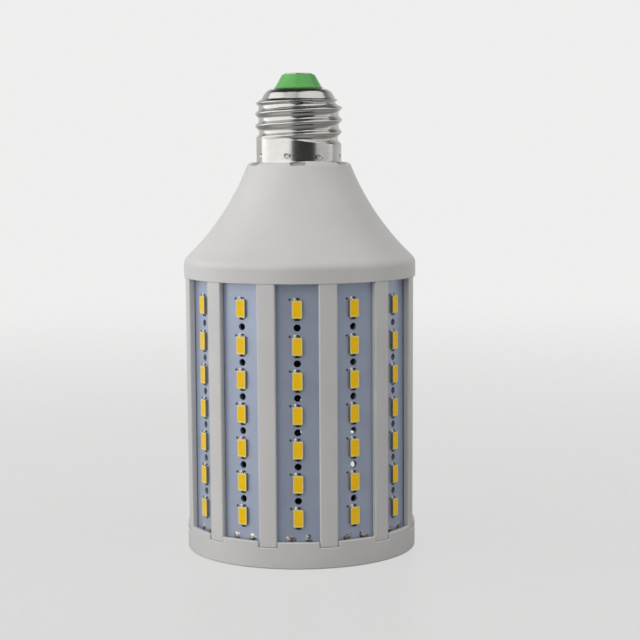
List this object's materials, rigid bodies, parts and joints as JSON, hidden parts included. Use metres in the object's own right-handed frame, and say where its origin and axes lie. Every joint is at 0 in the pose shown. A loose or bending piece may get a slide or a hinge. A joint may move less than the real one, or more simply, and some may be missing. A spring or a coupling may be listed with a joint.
{
  "type": "corn led bulb",
  "caption": "Corn LED bulb on a screw cap: strips of diodes stand in a ring behind the ribs of a white flared housing, with a base ring and a lit end.",
  "frame": {"origin": "centre of the underside of the base ring, the face that the lamp stands on", "axes": "+Z from the base ring towards the screw cap along the lamp's axis; -Y out of the first strip of diodes"},
  "size_m": [0.0701, 0.07, 0.1435],
  "materials": {
    "housing_plastic": "satin moulded plastic",
    "cap_nickel": "bright nickel plate",
    "insulator_green": "smooth green insulator",
    "contact_nickel": "bright nickel plate",
    "strip_resist": "white solder resist on aluminium",
    "diode_yellow": "yellow phosphor in a pale package",
    "screw_steel": "zinc-plated steel",
    "driver_laminate": "green circuit board",
    "ferrite": "sintered ferrite",
    "winding_tape": "taped copper winding",
    "film_box": "film capacitor box",
    "capacitor_sleeve": "sleeved aluminium can",
    "choke_copper": "enamelled copper winding",
    "moulded_black": "moulded epoxy",
    "fuse_body": "painted resistor",
    "wire_red": "insulated wire",
    "wire_black": "insulated wire",
    "wire_tinned": "tinned wire",
    "solder_tin": "solder"
  },
  "bodies": {
    "root": {"screw_shell": "cap_nickel", "cap_insulator": "insulator_green", "centre_contact": "contact_nickel", "housing": "housing_plastic", "base_ring": "housing_plastic", "end_board": "strip_resist", "end_board_leds": "diode_yellow", "end_board_screws": "screw_steel", "led_strip_01": "strip_resist", "led_strip_02": "strip_resist", "led_strip_03": "strip_resist", "led_strip_04": "strip_resist", "led_strip_05": "strip_resist", "led_strip_06": "strip_resist", "led_strip_07": "strip_resist", "led_strip_08": "strip_resist", "led_strip_09": "strip_resist", "led_strip_10": "strip_resist", "led_strip_11": "strip_resist", "led_strip_12": "strip_resist", "strip_leds_01": "diode_yellow", "strip_leds_02": "diode_yellow", "strip_leds_03": "diode_yellow", "strip_leds_04": "diode_yellow", "strip_leds_05": "diode_yellow", "strip_leds_06": "diode_yellow", "strip_leds_07": "diode_yellow", "strip_leds_08": "diode_yellow", "strip_leds_09": "diode_yellow", "strip_leds_10": "diode_yellow", "strip_leds_11": "diode_yellow", "strip_leds_12": "diode_yellow", "strip_solder": "solder_tin", "strip_link_wires": "wire_tinned", "driver_board": "driver_laminate", "transformer_core": "ferrite", "transformer_winding": "winding_tape", "input_capacitor": "film_box", "output_capacitor": "capacitor_sleeve", "filter_choke": "choke_copper", "bridge_rectifier": "moulded_black", "driver_chip": "moulded_black", "fuse_resistor": "fuse_body", "contact_wire": "wire_red", "shell_wire": "wire_black", "output_wire_positive": "wire_red", "output_wire_negative": "wire_black"}
  },
  "joints": []
}
